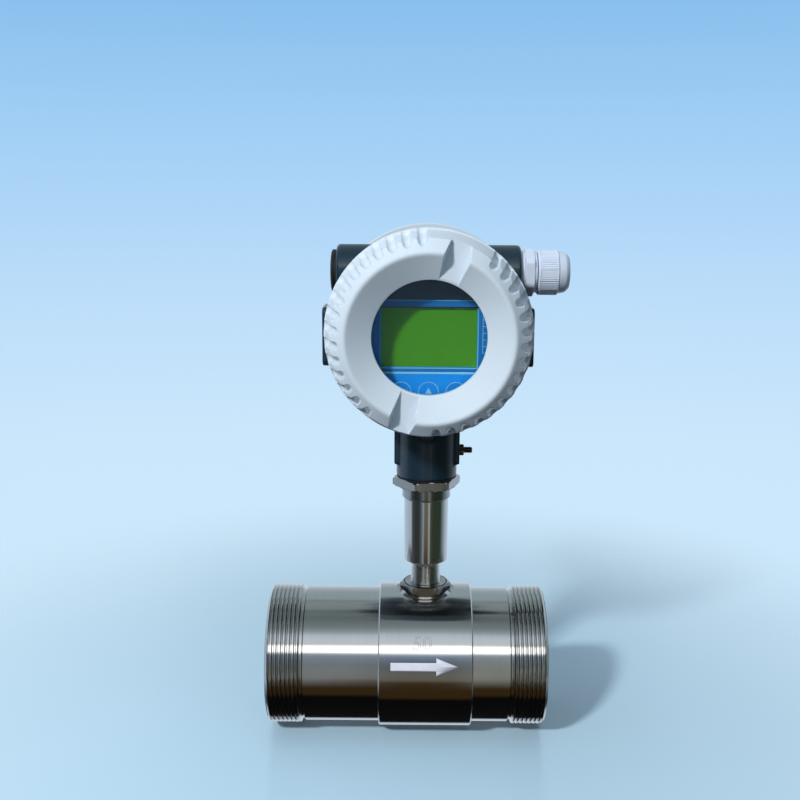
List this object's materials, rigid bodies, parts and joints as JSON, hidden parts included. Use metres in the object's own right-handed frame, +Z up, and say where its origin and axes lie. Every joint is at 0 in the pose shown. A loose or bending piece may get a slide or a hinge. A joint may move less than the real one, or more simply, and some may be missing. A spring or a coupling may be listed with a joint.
{
  "type": "turbine flow meter",
  "caption": "Threaded-end turbine flow meter: steel tube with rotor and guides, pickup stem, and a round field display head with cable gland.",
  "frame": {"origin": "centre of the inlet end of the tube, on the flow axis", "axes": "+X along the flow from inlet to outlet, +Z up the pickup stem to the display head, display facing -Y"},
  "size_m": [0.1579, 0.1186, 0.2748],
  "materials": {
    "stainless_steel": "turned and polished stainless steel",
    "rotor_steel": "magnetic stainless steel, ground",
    "bearing_metal": "hard metal",
    "soft_iron": "soft iron",
    "copper_winding": "enamelled copper wire",
    "magnet": "nickel plated",
    "circuit_board": "green solder mask",
    "board_plastic": "black moulded plastic",
    "housing_paint": "dark blue-grey powder coat on cast aluminium",
    "cover_paint": "light grey powder coat on cast aluminium",
    "window_glass": "toughened glass",
    "aluminium": "turned",
    "black_rubber": "moulded rubber",
    "faceplate": "printed blue film on a black frame",
    "lcd_glass": "unlit green liquid crystal",
    "key_plastic": "printed blue film",
    "brass": "turned",
    "zinc_screw": "zinc plated",
    "terminal_plastic": "green moulded plastic",
    "black_plastic": "moulded",
    "white_nylon": "moulded nylon"
  },
  "bodies": {
    "meter_run": {"meter_body": "stainless_steel", "inlet_guide": "stainless_steel", "outlet_guide": "stainless_steel", "inlet_retaining_ring": "stainless_steel", "outlet_retaining_ring": "stainless_steel", "pickup_stem": "stainless_steel", "lock_washer": "stainless_steel", "lock_nut": "stainless_steel", "neck_adapter": "stainless_steel", "inlet_bearing": "bearing_metal", "outlet_bearing": "bearing_metal", "pole_pin": "soft_iron", "coil_bobbin": "board_plastic", "pickup_coil": "copper_winding", "pickup_magnet": "magnet", "preamplifier_board": "circuit_board", "neck_seal": "black_rubber"},
    "rotor": {"rotor": "rotor_steel", "rotor_shaft": "bearing_metal"},
    "head": {"housing_body": "housing_paint", "faceplate": "faceplate", "lcd_panel": "lcd_glass", "display_board": "circuit_board", "key_switches": "board_plastic", "board_posts": "brass", "board_screws": "zinc_screw", "main_board": "circuit_board", "main_board_posts": "brass", "main_board_screws": "zinc_screw", "terminal_block": "terminal_plastic", "terminal_screws": "zinc_screw", "ground_screw": "zinc_screw", "earth_screw": "brass", "neck_set_screw": "zinc_screw", "plug_seal": "black_rubber", "blind_plug": "black_plastic", "gland_washer": "black_rubber", "gland_body": "white_nylon"},
    "front_seal": {"front_cover_seal": "black_rubber"},
    "front_cover": {"front_cover": "cover_paint", "window_gasket": "black_rubber", "window_glass": "window_glass", "window_clamp_ring": "aluminium"},
    "rear_seal": {"rear_cover_seal": "black_rubber"},
    "rear_cover": {"rear_cover": "cover_paint"},
    "grommet": {"gland_grommet": "black_rubber"},
    "gland_cap": {"gland_cap": "white_nylon"},
    "key_left": {"key_left": "key_plastic"},
    "key_centre": {"key_centre": "key_plastic"},
    "key_right": {"key_right": "key_plastic"}
  },
  "joints": [
    {"name": "rotor_spin", "type": "hinge", "parent": "meter_run", "child": "rotor", "pos_m": [0.085, 0, 0], "axis": [1, 0, 0], "continuous": true},
    {"name": "head_swivel", "type": "hinge", "parent": "meter_run", "child": "head", "pos_m": [0.085, 0, 0.103], "axis": [0, 0, 1], "range_deg": [-175, 175]},
    {"name": "front_cover_travel", "type": "slide", "parent": "head", "child": "front_seal", "axis": [0, -1, 0], "range_m": [0, 0.01]},
    {"name": "front_cover_turn", "type": "hinge", "parent": "front_seal", "child": "front_cover", "pos_m": [0.085, -0.04, 0.184], "axis": [0, -1, 0], "range_deg": [0, 1800]},
    {"name": "rear_cover_travel", "type": "slide", "parent": "head", "child": "rear_seal", "axis": [0, 1, 0], "range_m": [0, 0.01]},
    {"name": "rear_cover_turn", "type": "hinge", "parent": "rear_seal", "child": "rear_cover", "pos_m": [0.085, 0.04, 0.184], "axis": [0, 1, 0], "range_deg": [0, 1800]},
    {"name": "gland_cap_travel", "type": "slide", "parent": "head", "child": "grommet", "axis": [1, 0, 0], "range_m": [0, 0.006]},
    {"name": "gland_cap_turn", "type": "hinge", "parent": "grommet", "child": "gland_cap", "pos_m": [0.1477, 0, 0.212], "axis": [1, 0, 0], "range_deg": [0, 1440]},
    {"name": "key_left_press", "type": "slide", "parent": "head", "child": "key_left", "axis": [0, 1, 0], "range_m": [0, 0.0004], "stiffness_N_per_m": 2500},
    {"name": "key_centre_press", "type": "slide", "parent": "head", "child": "key_centre", "axis": [0, 1, 0], "range_m": [0, 0.0004], "stiffness_N_per_m": 2500},
    {"name": "key_right_press", "type": "slide", "parent": "head", "child": "key_right", "axis": [0, 1, 0], "range_m": [0, 0.0004], "stiffness_N_per_m": 2500}
  ],
  "couplings": [
    {"joint": "front_cover_travel", "follows": "front_cover_turn", "m_per_rad": 0.0003183},
    {"joint": "rear_cover_travel", "follows": "rear_cover_turn", "m_per_rad": 0.0003183},
    {"joint": "gland_cap_travel", "follows": "gland_cap_turn", "m_per_rad": 0.00023872}
  ]
}
